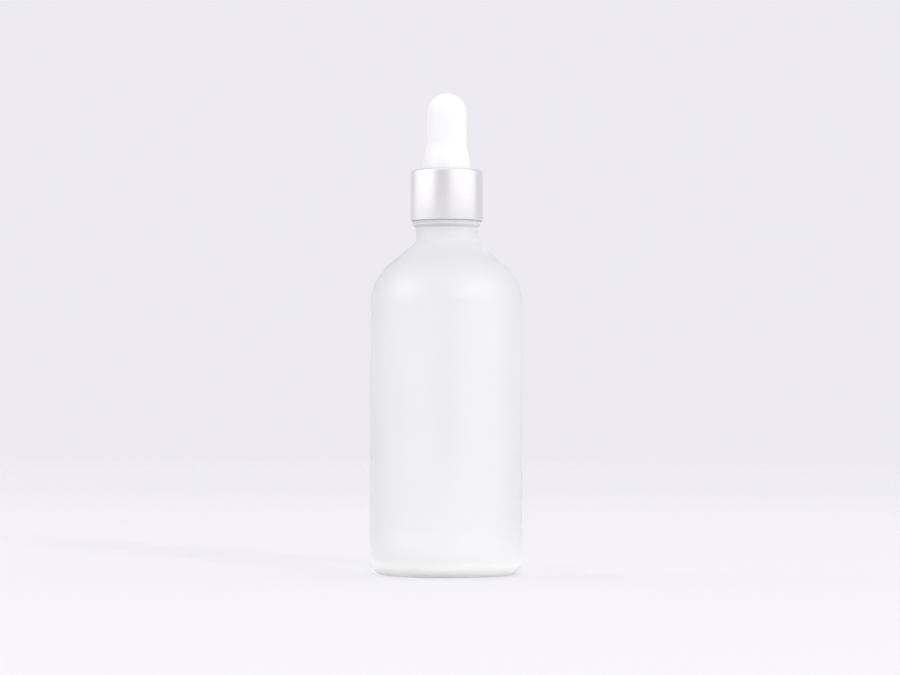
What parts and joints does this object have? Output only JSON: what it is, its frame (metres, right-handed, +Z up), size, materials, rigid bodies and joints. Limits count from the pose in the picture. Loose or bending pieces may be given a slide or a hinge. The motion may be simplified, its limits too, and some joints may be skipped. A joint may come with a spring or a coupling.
{
  "type": "dropper bottle",
  "caption": "Frosted glass dropper bottle: screw cap in an aluminium collar holds a white rubber bulb and a glass pipette; it unscrews, lifts out and the bulb squeezes.",
  "frame": {"origin": "middle of the bottle's base, on the plane that it stands on", "axes": "+Z up along the axis of the bottle and the dropper; the bulb is squeezed along X; front is -Y, but nearly every piece is turned, so it looks the same from every side"},
  "size_m": [0.0446, 0.0446, 0.1408],
  "materials": {
    "frosted_glass": "acid-frosted outside, smooth inside",
    "clear_glass": "clear, fire-polished",
    "washer_plastic": "soft, natural",
    "white_rubber": "white, soft matt",
    "white_plastic": "moulded, satin",
    "anodised_aluminium": "satin silver anodised"
  },
  "bodies": {
    "bottle": {"glass_bottle": "frosted_glass"},
    "washer": {"sealing_washer": "washer_plastic"},
    "dropper": {"glass_pipette": "clear_glass", "rubber_bulb": "white_rubber"},
    "cap": {"inner_cap": "white_plastic", "metal_collar": "anodised_aluminium"},
    "left_pad": {"bulb_pad_left": "white_rubber"},
    "right_pad": {"bulb_pad_right": "white_rubber"}
  },
  "joints": [
    {"name": "pull_out", "type": "slide", "parent": "bottle", "child": "washer", "axis": [0, 0, 1], "range_m": [0, 0.12]},
    {"name": "rise", "type": "slide", "parent": "washer", "child": "dropper", "axis": [0, 0, 1], "range_m": [0, 0.0045]},
    {"name": "unscrew", "type": "hinge", "parent": "dropper", "child": "cap", "pos_m": [0, 0, 0.11], "axis": [0, 0, 1], "range_deg": [0, 540]},
    {"name": "squeeze", "type": "slide", "parent": "dropper", "child": "left_pad", "axis": [1, 0, 0], "range_m": [0, 0.0032], "stiffness_N_per_m": 900},
    {"name": "squeeze_other_side", "type": "slide", "parent": "dropper", "child": "right_pad", "axis": [-1, 0, 0], "range_m": [0, 0.0032]}
  ],
  "couplings": [
    {"joint": "unscrew", "follows": "rise", "rad_per_m": 2094.4},
    {"joint": "squeeze_other_side", "follows": "squeeze", "ratio": 1}
  ]
}
